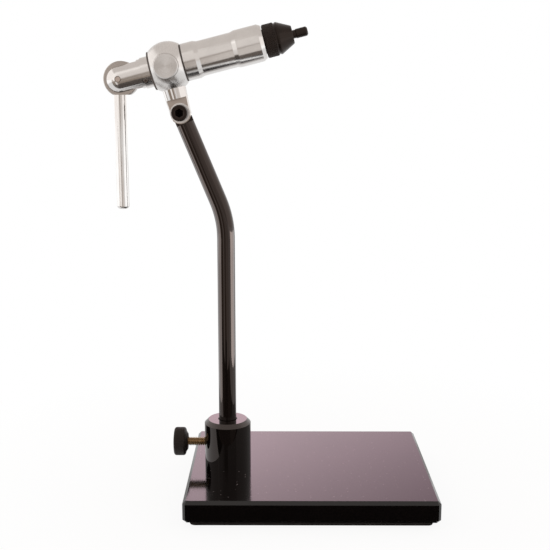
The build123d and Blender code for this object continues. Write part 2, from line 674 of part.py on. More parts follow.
# Nose cap: threaded tail, knurled grip, groove, land and cone outside, taper for the collet inside
jaw_radius = COLLET_JAW_DIAMETER / 2
shank_bore = COLLET_SHANK_DIAMETER / 2 + RUNNING_CLEARANCE
jaw_bore = jaw_radius + MOVING_GAP
nose_cap = turned(
    [
        (nose_tail, shank_bore),
        (nose_tail, NOSE_BORE_DIAMETER / 2 - RUNNING_CLEARANCE),
        (grip_start, NOSE_BORE_DIAMETER / 2 - RUNNING_CLEARANCE),
        (grip_start, NOSE_GRIP_DIAMETER / 2 - NOSE_GRIP_CHAMFER),
        (grip_start + NOSE_GRIP_CHAMFER, NOSE_GRIP_DIAMETER / 2),
        (grip_end - NOSE_GRIP_CHAMFER, NOSE_GRIP_DIAMETER / 2),
        (grip_end, NOSE_GRIP_DIAMETER / 2 - NOSE_GRIP_CHAMFER),
        (grip_end, NOSE_GROOVE_DIAMETER / 2),
        (groove_end, NOSE_GROOVE_DIAMETER / 2),
        (groove_end, NOSE_LAND_DIAMETER / 2),
        (land_end, NOSE_LAND_DIAMETER / 2),
        (nose_tip, NOSE_TIP_DIAMETER / 2),
        (nose_tip, jaw_bore),
        (taper_end, jaw_bore),
        (taper_start, shank_bore),
    ]
)
save(nose_cap, "nose_cap")

# Collet: shank, taper, waist and jaw, tapped behind for the rod and slit from the tip
shank_radius = COLLET_SHANK_DIAMETER / 2
waist_radius = COLLET_WAIST_DIAMETER / 2
collet_taper_start = taper_start - MOVING_GAP
collet_taper_end = taper_end - MOVING_GAP
waist_end = nose_tip + COLLET_WAIST_REACH
jaw_start = waist_end + jaw_radius - waist_radius
with BuildPart() as collet:
    with BuildSketch(head):
        with BuildLine():
            Polyline(
                (collet_rear, 0),
                (collet_rear, shank_radius),
                (collet_taper_start, shank_radius),
                (collet_taper_end, jaw_radius),
                (collet_taper_end + jaw_radius, jaw_radius),
                (collet_taper_end + 2 * jaw_radius - waist_radius, waist_radius),
                (waist_end, waist_radius),
                (jaw_start, jaw_radius),
                (collet_tip - COLLET_TIP_CHAMFER, jaw_radius),
                (collet_tip, jaw_radius - COLLET_TIP_CHAMFER),
                (collet_tip, 0),
                close=True,
            )
        make_face()
    revolve(axis=barrel_axis)
    with BuildSketch(Plane(origin=ball_centre + along * collet_rear, x_dir=across, z_dir=along)):
        Circle(ROD_THREAD_DIAMETER / 2 + THREAD_CLEARANCE)
    extrude(amount=ROD_THREAD_LENGTH + SMALL_CHAMFER, mode=Mode.SUBTRACT)
    with BuildSketch(head):
        with Locations((collet_tip - COLLET_SLIT_LENGTH / 2, 0)):
            Rectangle(COLLET_SLIT_LENGTH, COLLET_SHANK_DIAMETER * 2)
    extrude(amount=COLLET_SLIT / 2, both=True, mode=Mode.SUBTRACT)
save(collet, "collet")
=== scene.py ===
import json
from math import pi, radians

import bpy
import numpy as np
from bpy.props import FloatProperty, FloatVectorProperty, IntProperty, PointerProperty
from bpy.types import Operator, Panel, PropertyGroup
from mathutils import Euler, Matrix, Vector


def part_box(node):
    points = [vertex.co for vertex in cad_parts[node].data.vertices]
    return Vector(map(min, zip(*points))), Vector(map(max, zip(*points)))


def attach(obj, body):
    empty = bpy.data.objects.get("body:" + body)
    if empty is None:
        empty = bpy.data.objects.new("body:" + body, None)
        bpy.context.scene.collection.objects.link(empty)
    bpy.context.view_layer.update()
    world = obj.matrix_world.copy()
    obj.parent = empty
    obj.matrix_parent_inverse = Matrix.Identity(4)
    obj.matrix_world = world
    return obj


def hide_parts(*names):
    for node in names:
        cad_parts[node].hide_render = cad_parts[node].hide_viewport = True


bl_info = {
    "name": "Fly tying vise",
    "version": (1, 0, 0),
    "blender": (4, 5, 0),
    "location": "View3D > Sidebar > Vise",
    "description": "Finishes, knurls and threads of a rotary fly tying vise, and the stage it stands on",
    "category": "Object",
}

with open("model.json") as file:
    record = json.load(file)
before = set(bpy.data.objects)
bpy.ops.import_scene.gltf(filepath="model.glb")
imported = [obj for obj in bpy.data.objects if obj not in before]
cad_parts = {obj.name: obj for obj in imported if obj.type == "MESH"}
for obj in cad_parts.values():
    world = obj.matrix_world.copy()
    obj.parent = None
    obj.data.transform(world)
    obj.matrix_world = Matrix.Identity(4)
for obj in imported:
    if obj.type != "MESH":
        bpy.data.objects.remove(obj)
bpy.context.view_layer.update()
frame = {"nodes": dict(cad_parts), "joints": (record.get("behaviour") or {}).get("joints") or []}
NODES = frame["nodes"]
JOINTS = {joint["name"]: joint for joint in frame["joints"]}
SMOOTH_UNDER = radians(38)
TURNED_CUTS, POLISHED_CUTS = 0.000008, 0.000004
UP = np.array([0.0, 0.0, 1.0])
TO_CAMERA_SIDE = np.array([0.0, -1.0, 0.0])


# Lines that pieces are turned about

def joint_line(name):
    """The point and the unit direction of a joint's axis."""
    direction = np.array(JOINTS[name]["axis"], float)
    return np.array(JOINTS[name]["pos_m"], float), direction / np.linalg.norm(direction)


def node_points(name):
    """All vertices of a CAD node as rows of x, y, z."""
    points = np.zeros(len(NODES[name].data.vertices) * 3)
    NODES[name].data.vertices.foreach_get("co", points)
    return points.reshape(-1, 3)


def node_span(name, line):
    """Lowest and highest station of a CAD node along a line, counted from the line's point."""
    stations = (node_points(name) - line[0]) @ line[1]
    return stations.min(), stations.max()


def line_points(line, *stations):
    """Points on a line at stations."""
    return [line[0] + line[1] * station for station in stations]


BARREL_LINE = joint_line("barrel_rotation")
DRAG_LINE = joint_line("drag_screw_turn")
THUMBSCREW_LINE = joint_line("thumbscrew_turn")
PIVOT_LINE = (joint_line("head_tilt")[0], TO_CAMERA_SIDE)
CAM_LINE = (joint_line("cam_lever")[0], TO_CAMERA_SIDE)


# Surfaces

def side_and_up(direction):
    """Two unit directions that stand square to a line and to each other."""
    helper = -TO_CAMERA_SIDE if abs(direction[1]) < 0.9 else UP
    side = np.cross(direction, helper)
    side = side / np.linalg.norm(side)
    return side, np.cross(direction, side)


def fine_profile(corners, step):
    """Corner points of a profile with even points added on each straight run, at most a step apart."""
    corners = np.array(corners, float)
    runs = []
    for start, end in zip(corners[:-1], corners[1:]):
        count = max(1, int(np.ceil(np.linalg.norm(end - start) / step)))
        runs.append(start + (end - start) * np.arange(count)[:, None] / count)
    return np.concatenate(runs + [corners[-1:]])


def turned_rings(line, profile, count, radius_at=None):
    """Rings of points about a line. Each ring holds point + direction * station +
    (side * cos a + up * sin a) * radius, for angles a in even steps through a full turn.
    radius_at(station, radius, a) gives a radius that changes round the ring."""
    start, direction = line
    side, up = side_and_up(direction)
    angle = np.arange(count) * 2 * pi / count
    station, radius = profile[:, :1], profile[:, 1:]
    grid = radius_at(station, radius, angle) if radius_at else radius + 0 * angle
    outward = side * np.cos(angle)[:, None] + up * np.sin(angle)[:, None]
    return start + direction * station[:, :, None] + grid[:, :, None] * outward


def skin(name, rings, poles=(), closed=False):
    """A closed mesh over rings of points: quads between neighbouring rings, a fan from each pole to the
    first or last ring, or quads from the last ring back to the first. Faces are turned to point outwards
    by the sign of the volume, which is the sum of corner products over the triangles."""
    rows, count = rings.shape[:2]
    index = np.arange(rows * count).reshape(rows, count)
    index = np.vstack([index, index[:1]]) if closed else index
    ahead = np.roll(index, -1, axis=1)
    quads = np.stack([index[:-1], ahead[:-1], ahead[1:], index[1:]], axis=-1).reshape(-1, 4)
    points = rings.reshape(-1, 3)
    fans = np.zeros((0, 3), int)
    if len(poles):
        tips = len(points) + np.arange(2)[:, None] + np.zeros(count, int)
        first = np.stack([ahead[0], index[0], tips[0]], axis=-1)
        last = np.stack([index[-1], ahead[-1], tips[1]], axis=-1)
        points = np.concatenate([points, np.array(poles, float)])
        fans = np.concatenate([first, last])
    triangles = np.concatenate([quads[:, :3], quads[:, [0, 2, 3]], fans])
    corner = points[triangles] - points.mean(axis=0)
    volume = np.einsum("ij,ij->", corner[:, 0], np.cross(corner[:, 1], corner[:, 2]))
    if volume < 0:
        quads, fans = quads[:, ::-1], fans[:, ::-1]
    mesh = bpy.data.meshes.new(name)
    mesh.from_pydata(points.tolist(), [], quads.tolist() + fans.tolist())
    mesh.polygons.foreach_set("use_smooth", np.ones(len(mesh.polygons), bool))
    mesh.set_sharp_from_angle(angle=SMOOTH_UNDER)
    mesh.update()
    return mesh


def add_piece(mesh, body, slot, finish, *nodes):
    """Put a finished mesh in the scene, on a body, in place of CAD nodes."""
    piece = bpy.data.objects.new(mesh.name, mesh)
    bpy.context.scene.collection.objects.link(piece)
    mesh.materials.append(finish)
    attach(piece, body)
    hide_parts(*nodes)
    return piece


def dress(finish, *names):
    """Give CAD nodes a finish."""
    for name in names:
        NODES[name].material_slots[0].material = finish


def wave(turns):
    """A triangle wave that is 0 at whole turns and 1 half-way between them."""
    return 1 - np.abs(2 * (turns - np.floor(turns)) - 1)


# Finishes

def add_node(tree, kind, sockets=None, **fields):
    """Add a node, set its fields, and set or link its sockets."""
    made = tree.nodes.new(kind)
    for field, value in fields.items():
        setattr(made, field, value)
    for socket, value in (sockets or {}).items():
        if isinstance(value, bpy.types.NodeSocket):
            tree.links.new(value, made.inputs[socket])
        else:
            made.inputs[socket].default_value = value
    return made


def new_finish(name, values):
    """A material with plain values on its shader. Returns it with its tree and shader."""
    material = bpy.data.materials.new(name)
    material.use_nodes = True
    tree = material.node_tree
    shader = tree.nodes["Principled BSDF"]
    for socket, value in values.items():
        shader.inputs[socket].default_value = value
    return material, tree, shader


def calculate(tree, operation, *values):
    """The result of a Math node."""
    return add_node(tree, "ShaderNodeMath", dict(enumerate(values)), operation=operation).outputs["Value"]


def vector_step(tree, operation, *vectors):
    """The outputs of a Vector Math node."""
    return add_node(tree, "ShaderNodeVectorMath", dict(enumerate(vectors)), operation=operation).outputs


def part_of(tree, vector, axis):
    """One of a vector's parts X, Y and Z."""
    return add_node(tree, "ShaderNodeSeparateXYZ", {"Vector": vector}).outputs[axis]


def shade(colour, share):
    """A colour made lighter or darker."""
    return tuple(share * part for part in colour)


def object_place(tree):
    """Object coordinates, in metres."""
    return add_node(tree, "ShaderNodeTexCoord").outputs["Object"]


def grain(tree, vector, scale, detail=2.0, roughness=0.5):
    """Cloudy noise from 0 to 1 whose lumps are about one metre divided by the scale across."""
    sockets = {"Vector": vector, "Scale": scale, "Detail": detail, "Roughness": roughness}
    return add_node(tree, "ShaderNodeTexNoise", sockets).outputs["Fac"]


def spread(tree, value, low, high, start=0.3, end=0.7):
    """Stretch a value between start and end to a range from low to high."""
    sockets = {"Value": value, "From Min": start, "From Max": end, "To Min": low, "To Max": high}
    return add_node(tree, "ShaderNodeMapRange", sockets).outputs["Result"]


def two_tone(tree, factor, first, second, start=0.3, end=0.7):
    """A colour that runs from the first to the second as the factor goes from start to end."""
    ramp = add_node(tree, "ShaderNodeValToRGB", {"Fac": factor})
    ramp.color_ramp.elements[0].position = start
    ramp.color_ramp.elements[1].position = end
    ramp.color_ramp.elements[0].color = (*first, 1)
    ramp.color_ramp.elements[1].color = (*second, 1)
    return ramp.outputs["Color"]


def set_look(tree, shader, colour, roughness):
    """Link a colour and a roughness to a shader."""
    tree.links.new(colour, shader.inputs["Base Color"])
    tree.links.new(roughness, shader.inputs["Roughness"])


def add_relief(tree, shader, height, depth, strength=1.0, edge=0.0):
    """Raise a finish by a height from 0 to 1 times a depth in metres, over edges rounded by a radius."""
    sockets = {"Height": height, "Distance": depth, "Strength": strength}
    if edge:
        sockets["Normal"] = add_node(tree, "ShaderNodeBevel", {"Radius": edge}, samples=4).outputs["Normal"]
    relief = add_node(tree, "ShaderNodeBump", sockets)
    tree.links.new(relief.outputs["Normal"], shader.inputs["Normal"])


def line_place(tree, line):
    """Distance along a line, and distance from it."""
    offset = vector_step(tree, "SUBTRACT", object_place(tree), line[0])["Vector"]
    along = vector_step(tree, "DOT_PRODUCT", offset, line[1])["Value"]
    across = vector_step(tree, "CROSS_PRODUCT", offset, line[1])["Vector"]
    return along, vector_step(tree, "LENGTH", across)["Value"]


def facing_up(tree, share, margin):
    """1 on faces whose normal's upward part is within a margin of a share, else 0."""
    normal = add_node(tree, "ShaderNodeNewGeometry").outputs["True Normal"]
    return calculate(tree, "COMPARE", part_of(tree, normal, "Z"), share, margin)


def turning_place(tree, line):
    """Distance along a line plus 1.3 times the distance from it, which stays the same along a turning tool's
    cut on faces and on cylinders."""
    along, away = line_place(tree, line)
    return calculate(tree, "MULTIPLY_ADD", away, 1.3, along)


def lathe_cuts(tree, line, per_metre):
    """Fine uneven rings from 0 to 1 about a line, as a turning tool leaves them."""
    sockets = {"W": turning_place(tree, line), "Scale": per_metre, "Detail": 3.0, "Roughness": 0.7}
    return add_node(tree, "ShaderNodeTexNoise", sockets, noise_dimensions="1D").outputs["Fac"]


def turned_metal(name, colour, line, roughness, cut_depth=TURNED_CUTS):
    """Bright metal turned about a line: fine ring cuts and faint cloudy stains."""
    material, tree, shader = new_finish(name, {"Metallic": 1.0})
    cuts = lathe_cuts(tree, line, per_metre=5200)
    clouds = grain(tree, object_place(tree), scale=160, detail=4)
    stained = two_tone(tree, clouds, shade(colour, 0.93), colour)
    uneven = spread(tree, cuts, low=roughness * 0.8, high=roughness * 1.25)
    set_look(tree, shader, stained, uneven)
    add_relief(tree, shader, cuts, cut_depth, strength=0.5)
    return material


def change_where(material, mask, colour, roughness):
    """Give a finish another colour and roughness where a mask is 1."""
    tree = material.node_tree
    shader = tree.nodes["Principled BSDF"]
    for socket, value in (("Base Color", (*colour, 1)), ("Roughness", (roughness,) * 3 + (1,))):
        source = shader.inputs[socket].links[0].from_socket
        sockets = {"Fac": mask, "Color1": source, "Color2": value}
        tree.links.new(add_node(tree, "ShaderNodeMixRGB", sockets).outputs["Color"], shader.inputs[socket])


def shaded_duller_flat(material, depth, colour, roughness):
    """Give the flat that lies at one depth behind the near side a duller milled roughness and a darker
    colour, which is painted shade.
    """
    tree = material.node_tree
    margin = 0.00006
    mask = calculate(tree, "COMPARE", part_of(tree, object_place(tree), "Y"), depth, margin)
    change_where(material, mask, colour, roughness)


def shaded_rim(material, line, colour, radius, roughness):
    """Darken a turned piece beyond a radius from its line, as painted shade at its rim."""
    away, soft_edge = line_place(material.node_tree, line)[1], 0.00012
    mask = spread(material.node_tree, away, 0.0, 1.0, start=radius, end=radius + soft_edge)
    change_where(material, mask, colour, roughness)


def gloss_black(name, colour, mirror):
    """Glossy black plating: a nearly even surface with faint waviness and handling haze."""
    material, tree, shader = new_finish(name, {"IOR": 1.7, "Specular Tint": (*mirror, 1)})
    place = object_place(tree)
    haze = grain(tree, place, scale=60, detail=5, roughness=0.6)
    clouded = two_tone(tree, haze, colour, shade(colour, 1.6))
    set_look(tree, shader, clouded, spread(tree, haze, low=0.035, high=0.07))
    add_relief(tree, shader, grain(tree, place, scale=900), depth=0.000003, strength=0.4)
    return material


def baked_paint(name, colour, speck):
    """Satin baked paint: orange peel, soft cloudiness and a few tiny pale specks."""
    material, tree, shader = new_finish(name, {"IOR": 1.5})
    place = object_place(tree)
    peel = grain(tree, place, scale=1500, detail=3)
    clouds = grain(tree, place, scale=30)
    seen_from_above = vector_step(tree, "MULTIPLY", place, (1, 1, 0))["Vector"]
    cell_sockets = {"Vector": seen_from_above, "Scale": 260.0}
    cells = add_node(tree, "ShaderNodeTexVoronoi", cell_sockets, voronoi_dimensions="2D").outputs
    near = spread(tree, cells["Distance"], 1.0, 0.0, start=0.05, end=0.085)
    tint = add_node(tree, "ShaderNodeSeparateColor", {"Color": cells["Color"]}).outputs["Red"]
    chosen = spread(tree, tint, 0.0, 1.0, start=0.7, end=1.0)
    fleck = calculate(tree, "MULTIPLY", near, chosen)
    fleck = calculate(tree, "MULTIPLY", fleck, facing_up(tree, share=1, margin=0.1))
    ground = two_tone(tree, clouds, colour, shade(colour, 1.5), start=0.2, end=0.8)
    blend = add_node(tree, "ShaderNodeMixRGB", {"Fac": fleck, "Color1": ground, "Color2": (*speck, 1)})
    uneven = spread(tree, clouds, low=0.08, high=0.13, start=0.2, end=0.8)
    set_look(tree, shader, blend.outputs["Color"], uneven)
    add_relief(tree, shader, peel, depth=0.000012, strength=0.3, edge=0.0004)
    return material


def matte_moulding(name, colour, roughness, pebble_scale):
    """Matte moulded plastic or rubber: fine pebbled skin and uneven gloss."""
    material, tree, shader = new_finish(name, {"IOR": 1.38, "Specular Tint": (0.8, 0.66, 0.6, 1)})
    place = object_place(tree)
    pebbles = grain(tree, place, pebble_scale)
    clouds = grain(tree, place, scale=120, detail=3)
    clouded = two_tone(tree, clouds, colour, shade(colour, 1.7))
    uneven = spread(tree, clouds, low=roughness * 0.85, high=roughness * 1.15)
    set_look(tree, shader, clouded, uneven)
    add_relief(tree, shader, pebbles, depth=0.00003, strength=0.5)
    return material


def black_oxide(name, colour, line):
    """Blackened steel: dark brown-black with an oily sheen that varies, over fine turned rings."""
    material, tree, shader = new_finish(name, {"IOR": 1.4, "Specular Tint": (0.85, 0.68, 0.6, 1)})
    place = object_place(tree)
    oil = grain(tree, place, scale=320, detail=4, roughness=0.6)
    cuts = lathe_cuts(tree, line, per_metre=4200)
    browner = (2.2 * colour[0], 1.8 * colour[1], 1.6 * colour[2])
    set_look(tree, shader, two_tone(tree, oil, colour, browner), spread(tree, oil, low=0.2, high=0.32))
    add_relief(tree, shader, cuts, depth=0.000005, strength=0.5)
    return material


def dull_brass(name, colour):
    """Turned brass gone slightly dull, browner in cloudy patches."""
    material, tree, shader = new_finish(name, {"Metallic": 1.0})
    tarnish = grain(tree, object_place(tree), scale=700, detail=4, roughness=0.6)
    browner = (0.62 * colour[0], 0.52 * colour[1], 0.42 * colour[2])
    browned = two_tone(tree, tarnish, browner, colour)
    set_look(tree, shader, browned, spread(tree, tarnish, low=0.24, high=0.4))
    add_relief(tree, shader, tarnish, depth=0.000008, strength=0.4)
    return material


# Settings

class ViseSizes(PropertyGroup):
    """Sizes of the cut and moulded details."""

    knurl_count: IntProperty(
        name="Knurl diamonds", description="Diamonds round the nose cap's grip", default=44, min=12)
    knurl_pitch: FloatProperty(
        name="Knurl pitch", description="Length of a knurl diamond along the grip",
        default=0.00115, unit="LENGTH")
    knurl_depth: FloatProperty(
        name="Knurl depth", description="Depth of the knurl's grooves", default=0.00026, unit="LENGTH")
    thread_pitch: FloatProperty(
        name="Thread pitch", description="Pitch of the thumbscrew's thread", default=0.00106, unit="LENGTH")
    thread_depth: FloatProperty(
        name="Thread depth", description="Depth of the thumbscrew's thread", default=0.00055, unit="LENGTH")
    flute_count: IntProperty(
        name="Knob flutes", description="Fine flutes round the thumbscrew's knob", default=56, min=8)
    flute_depth: FloatProperty(
        name="Flute depth", description="Depth of the knob's flutes", default=0.00014, unit="LENGTH")
    screw_grooves: IntProperty(
        name="Screw head grooves", description="Straight grooves round the pivot screw's head",
        default=40, min=8)
    pad_bulge: FloatProperty(
        name="Pad bulge", description="How far the pad's edge swells under the load",
        default=0.0004, unit="LENGTH")


class ViseColours(PropertyGroup):
    """Colours of the finishes."""

    aluminium: FloatVectorProperty(
        name="Aluminium", description="Bright turned aluminium", subtype="COLOR",
        default=(0.68, 0.66, 0.645))
    steel: FloatVectorProperty(
        name="Steel", description="Polished steel of lever, washer and inner pieces", subtype="COLOR",
        default=(0.7, 0.68, 0.665))
    plating: FloatVectorProperty(
        name="Black plating", description="Gloss black of stem and socket", subtype="COLOR",
        default=(0.0012, 0.0008, 0.0007))
    mirror: FloatVectorProperty(
        name="Plating mirror", description="Tint of what the black plating mirrors", subtype="COLOR",
        default=(0.63, 0.5, 0.45))
    socket_mirror: FloatVectorProperty(
        name="Socket mirror", description="Tint of what the socket's plating mirrors", subtype="COLOR",
        default=(0.62, 0.53, 0.5))
    socket_chamfer: FloatVectorProperty(
        name="Socket chamfer", description="Duller plating on the socket's chamfer", subtype="COLOR",
        default=(0.02, 0.017, 0.016))
    paint: FloatVectorProperty(
        name="Base paint", description="Dark satin paint of the base", subtype="COLOR",
        default=(0.0014, 0.0009, 0.0009))
    speck: FloatVectorProperty(
        name="Paint specks", description="Tiny pale specks in the base's paint", subtype="COLOR",
        default=(0.2, 0.17, 0.17))
    oxide: FloatVectorProperty(
        name="Black oxide", description="Blackened steel of nose cap, collet and pivot screw",
        subtype="COLOR", default=(0.0032, 0.0021, 0.0018))
    knob: FloatVectorProperty(
        name="Knob plastic", description="Matte plastic of the thumbscrew's knob", subtype="COLOR",
        default=(0.0036, 0.003, 0.0027))
    rubber: FloatVectorProperty(
        name="Pad rubber", description="Rubber of the non-slip pad", subtype="COLOR",
        default=(0.012, 0.011, 0.011))
    brass: FloatVectorProperty(
        name="Brass", description="Dull brass of the thumbscrew's stud", subtype="COLOR",
        default=(0.46, 0.35, 0.22))
    nylon: FloatVectorProperty(
        name="Nylon", description="Plug under the drag screw", subtype="COLOR", default=(0.6, 0.59, 0.55))
    # Darker colour of the neck's milled flat: painted shade.
    shaded_neck_flat: FloatVectorProperty(
        name="Neck flat", description="Milled flat on the front of the neck", subtype="COLOR",
        default=(0.44, 0.385, 0.345))
    washers: FloatVectorProperty(
        name="Thrust washers", description="Black plastic of the two thrust washers", subtype="COLOR",
        default=(0.075, 0.067, 0.062))
    # Painted shade at the outer edge of the drag screw's face.
    drag_rim_shade: FloatVectorProperty(
        name="Drag screw rim", description="Outer rim of the drag screw's face", subtype="COLOR",
        default=(0.3, 0.27, 0.25))
    set_screw: FloatVectorProperty(
        name="Set screw", description="Dull steel of the set screw", subtype="COLOR",
        default=(0.36, 0.31, 0.28))
    # Painted shade in the hole round the set screw.
    set_screw_rim_shade: FloatVectorProperty(
        name="Set screw rim", description="Dark rim of the set screw", subtype="COLOR",
        default=(0.012, 0.01, 0.009))
    cam: FloatVectorProperty(
        name="Cam", description="Ground steel of the cam", subtype="COLOR", default=(0.43, 0.39, 0.36))
    pin: FloatVectorProperty(
        name="Cam pin", description="Steel of the cam pin", subtype="COLOR", default=(0.52, 0.44, 0.39))
    # Painted shade round the cam pin's edge.
    pin_rim_shade: FloatVectorProperty(
        name="Cam pin rim", description="Dark rim of the cam pin", subtype="COLOR",
        default=(0.13, 0.105, 0.09))


class ViseStage(PropertyGroup):
    """Camera and light."""

    camera_place: FloatVectorProperty(
        name="Camera place", description="Where the camera stands", subtype="TRANSLATION", unit="LENGTH",
        default=(-0.01668, -0.50224, 0.21492))
    camera_pitch: FloatProperty(
        name="Camera pitch", description="How far the camera looks down", subtype="ANGLE",
        default=radians(10.57))
    camera_yaw: FloatProperty(
        name="Camera yaw", description="How far the camera turns to the left", subtype="ANGLE",
        default=radians(0.244))
    lens: FloatProperty(
        name="Lens", description="Focal length for a frame 36 mm wide", default=62.18, unit="CAMERA")
    side_light: FloatProperty(
        name="Side light", description="Brightness that the two side softboxes add to the room",
        default=0.5)
    front_light: FloatProperty(
        name="Front light", description="Brightness that the front softbox adds to the room", default=0.14)
    back_light: FloatProperty(
        name="Back light", description="Brightness that the back softbox adds to the backdrop", default=0.3)
    glow: FloatProperty(
        name="Backdrop glow", description="Brightness of the backdrop that the base's top mirrors",
        default=2.5)
    glow_left: FloatVectorProperty(
        name="Glow at left", description="Tint of the backdrop's glow on the left, low down", subtype="COLOR",
        default=(1.0, 0.75, 0.83))
    glow_right: FloatVectorProperty(
        name="Glow at right", description="Tint of the backdrop's glow on the right, high up",
        subtype="COLOR", default=(0.5, 0.35, 0.405))
    line_light: FloatProperty(
        name="Line light", description="Brightness of the narrow lamp over the base's front edge",
        default=0.1)
    studio: FloatVectorProperty(
        name="Studio", description="Colour of the room round the stage", subtype="COLOR",
        default=(0.8, 0.745, 0.705))
    table: FloatVectorProperty(
        name="Dark table", description="Colour of the dark table top before the object", subtype="COLOR",
        default=(0.145, 0.122, 0.108))
    carpet: FloatVectorProperty(
        name="Room floor", description="Colour of the dim floor beyond the table", subtype="COLOR",
        default=(0.33, 0.27, 0.22))
    boards: FloatVectorProperty(
        name="Side boards", description="Brightness that the low boards add to the floor, left and right",
        size=2, default=(2.2, 5.5))
    stand: FloatVectorProperty(
        name="Camera stand", description="Colour of the camera and its stand, as the metal mirrors them",
        subtype="COLOR", default=(0.45, 0.4, 0.36))


# Pieces

class VISE_OT_base(Operator):
    """Paint the base plate and fit the non-slip pad"""

    bl_idname = "vise.base"
    bl_label = "Base and pad"

    def execute(self, context):
        colours, sizes = context.scene.vise_colours, context.scene.vise_sizes
        dress(baked_paint("base_paint", colours.paint, colours.speck), "base_plate")
        rubber = matte_moulding("pad_rubber", colours.rubber, roughness=0.75, pebble_scale=3000)
        add_piece(self.pad_mesh(sizes.pad_bulge), "base", "pad_rubber", rubber, "base_pad")
        return {"FINISHED"}

    def pad_mesh(self, bulge):
        """Outline carried up a bulging edge: a rounded rectangle, drawn in by bulge * (1 - sin(pi * v))
        at each share v of the height, and closed to a middle point below and above."""
        low, high = (np.array(corner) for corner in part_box("base_pad"))
        middle, half = (low + high) / 2, (high - low) / 2
        corner, count, rows, inset = 0.003, 20, 13, np.array([0.985, 0.985, 1])
        quarter = np.arange(count) * (pi / 2) / (count - 1)
        turns = quarter + np.arange(4)[:, None] * pi / 2
        signs = np.array([[1, 1], [-1, 1], [-1, -1], [1, -1]])
        share = np.linspace(0, 1, rows)
        swell = bulge * (np.sin(pi * share) - 1)
        reach = corner + swell[:, None, None]
        centre = signs * (half[:2] - corner)
        x = centre[:, :1] + reach * np.cos(turns)
        y = centre[:, 1:] + reach * np.sin(turns)
        z = low[2] + (high[2] - low[2]) * share[:, None, None] + 0 * x
        rings = np.stack([x + middle[0], y + middle[1], z], axis=-1).reshape(rows, -1, 3)
        inner = np.array([middle[0], middle[1], 0])
        drawn_in = inner + (rings[[0, -1]] - inner) * inset
        rings = np.concatenate([drawn_in[:1], rings, drawn_in[1:]])
        return skin("non_slip_pad", rings, [(*middle[:2], low[2]), (*middle[:2], high[2])])


class VISE_OT_stem(Operator):
    """Plate the socket and the stem"""

    bl_idname = "vise.stem"
    bl_label = "Socket and stem"

    def execute(self, context):
        colours = context.scene.vise_colours
        dress(gloss_black("black_plating", colours.plating, colours.mirror), "stem")
        turned = gloss_black("turned_plating", colours.plating, colours.socket_mirror)
        chamfer = facing_up(turned.node_tree, share=0.7, margin=0.2)
        change_where(turned, chamfer, colours.socket_chamfer, roughness=0.3)
        dress(turned, "stem_socket")
        return {"FINISHED"}


class VISE_OT_thumbscrew(Operator):
    """Cut the thumbscrew's thread and mould its knob"""

    bl_idname = "vise.thumbscrew"
    bl_label = "Thumbscrew"

    def execute(self, context):
        colours, sizes = context.scene.vise_colours, context.scene.vise_sizes
        brass = dull_brass("thread_brass", colours.brass)
        add_piece(self.stud_mesh(sizes), "thumbscrew", "brass", brass, "thumbscrew_stud")
        plastic = matte_moulding("knob_plastic", colours.knob, roughness=0.5, pebble_scale=2600)
        add_piece(self.knob_mesh(sizes), "thumbscrew", "knob_plastic", plastic, "thumbscrew_knob")
        return {"FINISHED"}

    def stud_mesh(self, sizes):
        """Thread: the radius falls by depth * tooth, where tooth is a steep triangle wave of station / pitch
        minus the share of a turn, cut off at 0 and 1, and fades out at both ends."""
        start, end = node_span("thumbscrew_stud", THUMBSCREW_LINE)
        radius, point_radius, point_length, run_out, count = 0.0024, 0.002, 0.0003, 0.0006, 48
        steepness, crest, rings_per_pitch = 1.35, 0.15, 9
        corners = [(start, point_radius), (start + point_length, radius), (end, radius)]
        profile = fine_profile(corners, sizes.thread_pitch / rings_per_pitch)

        def radius_at(station, ring, angle):
            turns = (station - start) / sizes.thread_pitch - angle / (2 * pi)
            tooth = np.clip(steepness * wave(turns) - crest, 0, 1)
            from_ends = np.minimum(station - start, end - station)
            fade = np.clip(from_ends / run_out, 0, 1)
            return ring - sizes.thread_depth * tooth * fade

        rings = turned_rings(THUMBSCREW_LINE, profile, count, radius_at)
        return skin("thumbscrew_thread", rings, line_points(THUMBSCREW_LINE, start, end))

    def knob_mesh(self, sizes):
        """Knob: a hub that widens to a drum with rounded rims and a domed face. Round the drum the radius
        falls by depth * wave(count * share of a turn)."""
        start, end = node_span("thumbscrew_knob", THUMBSCREW_LINE)
        hub, drum, rim, dome = start + 0.0011, 0.00775, 0.0013, 0.0005
        bore, bore_end, middle = 0.00242, start + 0.0055, 0.0008
        steps, points_per_flute = 9, 6
        face = end - dome
        arc = np.linspace(0, pi / 2, steps)
        near_rim = np.stack([hub + rim - rim * np.cos(arc), drum - rim + rim * np.sin(arc)], axis=-1)
        far_rim = np.stack([face - rim + rim * np.sin(arc), drum - rim + rim * np.cos(arc)], axis=-1)
        across = np.linspace(drum - rim, middle, steps)
        crown = np.stack([face + dome * (1 - (across / (drum - rim)) ** 2), across], axis=-1)
        inside = [(bore_end, bore), (start, bore)]
        hub_side = [(start, 0.0045), (start + 0.0003, 0.0048), (hub - 0.0002, 0.0059), (hub, 0.006)]
        corners = np.concatenate([inside, hub_side, near_rim, far_rim, crown[1:]])
        profile, run_out = fine_profile(corners, step=0.0006), 0.0004

        def radius_at(station, ring, angle):
            depth = sizes.flute_depth * np.clip((ring - drum + run_out) / run_out, 0, 1)
            return ring - depth * wave(sizes.flute_count * angle / (2 * pi))

        rings = turned_rings(THUMBSCREW_LINE, profile, sizes.flute_count * points_per_flute, radius_at)
        return skin("thumbscrew_knob_fluted", rings, line_points(THUMBSCREW_LINE, bore_end, end))


